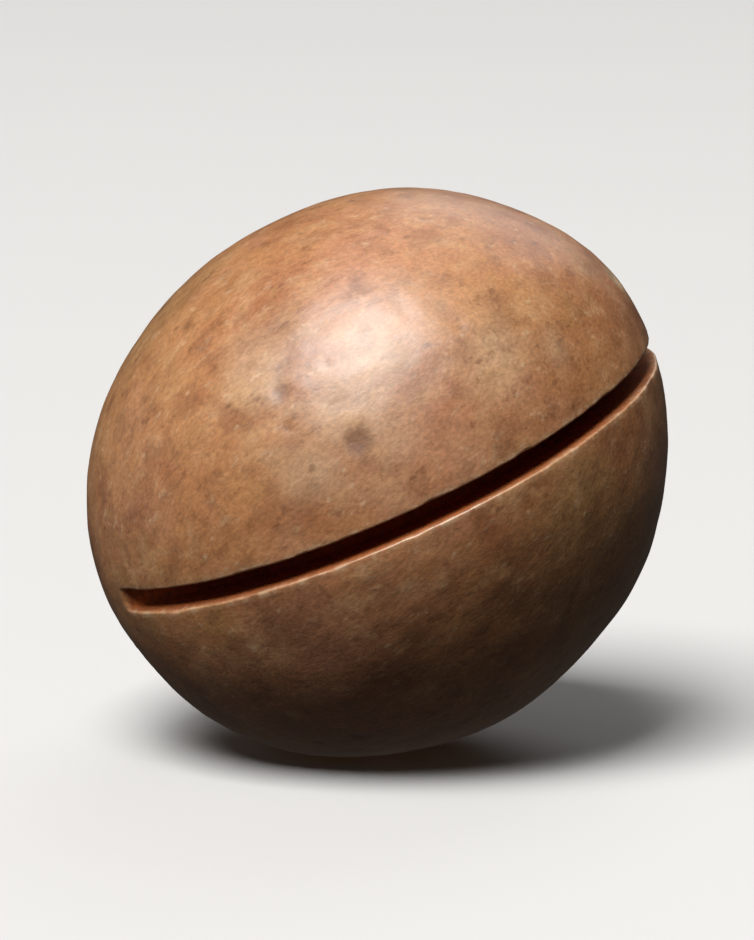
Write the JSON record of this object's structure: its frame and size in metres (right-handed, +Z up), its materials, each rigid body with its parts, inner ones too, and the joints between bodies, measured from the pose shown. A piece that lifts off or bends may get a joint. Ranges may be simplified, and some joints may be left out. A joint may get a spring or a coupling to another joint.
{
  "type": "macadamia nut in shell",
  "caption": "Whole macadamia nut in its brown shell, slightly egg-shaped, resting on a small flat, with a saw slot part way round for a cracking key.",
  "frame": {"origin": "on the plane of the small flat that the nut rests on, under the middle of its box", "axes": "+Z up from the resting flat; +X towards the raised tip end, along the longest extent; +Y away from the near side of the saw slot, along the shortest extent"},
  "size_m": [0.0256, 0.0238, 0.0248],
  "materials": {
    "nut_shell": "hard reddish-brown nutshell with ochre and dark mottling, fine pores and a dull polish"
  },
  "bodies": {
    "root": {"macadamia_nut": "nut_shell"}
  },
  "joints": []
}
